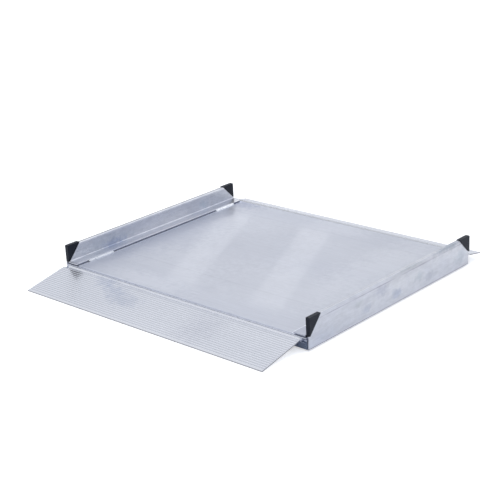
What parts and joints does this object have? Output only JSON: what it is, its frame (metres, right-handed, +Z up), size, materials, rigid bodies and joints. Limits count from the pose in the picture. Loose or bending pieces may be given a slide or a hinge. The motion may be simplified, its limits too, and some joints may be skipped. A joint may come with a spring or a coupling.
{
  "type": "wheelchair ramp",
  "caption": "Low aluminium wheelchair ramp: folded deck between two kerb rails, with a hinged ribbed flap to the floor and a short hinged lip for the sill.",
  "frame": {"origin": "on the floor under the middle of the deck, between the two rails and halfway along them", "axes": "+Z up; -Y points to the front, down the long flap to the floor; +Y to the rear lip; +X across the ramp, to the right for someone looking from the front flap to the rear"},
  "size_m": [0.905, 0.9226, 0.0903],
  "materials": {
    "mill_aluminium": "mill finish, satin with fine rolling grain",
    "ribbed_aluminium": "extruded, satin, fine ribs",
    "weld_metal": "bright rippled weld bead",
    "black_plastic": "moulded, matt",
    "black_rubber": "matt"
  },
  "bodies": {
    "base": {"deck_plate": "mill_aluminium", "deck_stiffener_1": "mill_aluminium", "deck_stiffener_2": "mill_aluminium", "deck_stiffener_3": "mill_aluminium", "deck_stiffener_4": "mill_aluminium", "deck_stiffener_5": "mill_aluminium", "end_cap_front_left": "black_plastic", "end_cap_front_right": "black_plastic", "end_cap_rear_left": "black_plastic", "end_cap_rear_right": "black_plastic", "front_hinge_socket": "mill_aluminium", "front_hinge_stop_left": "mill_aluminium", "front_hinge_stop_right": "mill_aluminium", "rear_hinge_socket": "mill_aluminium", "rear_hinge_stop_left": "mill_aluminium", "rear_hinge_stop_right": "mill_aluminium", "rubber_strip_rail_left": "black_rubber", "rubber_strip_rail_right": "black_rubber", "rubber_strip_stiffener_1": "black_rubber", "rubber_strip_stiffener_3": "black_rubber", "rubber_strip_stiffener_5": "black_rubber", "side_rail_left": "mill_aluminium", "side_rail_right": "mill_aluminium", "weld_front_left": "weld_metal", "weld_front_right": "weld_metal", "weld_rear_left": "weld_metal", "weld_rear_right": "weld_metal"},
    "front_flap": {"front_flap": "ribbed_aluminium"},
    "rear_lip": {"rear_lip": "ribbed_aluminium"}
  },
  "joints": [
    {"name": "front_flap_hinge", "type": "hinge", "parent": "base", "child": "front_flap", "pos_m": [0, -0.3585, 0.0318], "axis": [-1, 0, 0], "range_deg": [0, 103]},
    {"name": "rear_lip_hinge", "type": "hinge", "parent": "base", "child": "rear_lip", "pos_m": [0, 0.3585, 0.0318], "axis": [1, 0, 0], "range_deg": [0, 103]}
  ]
}
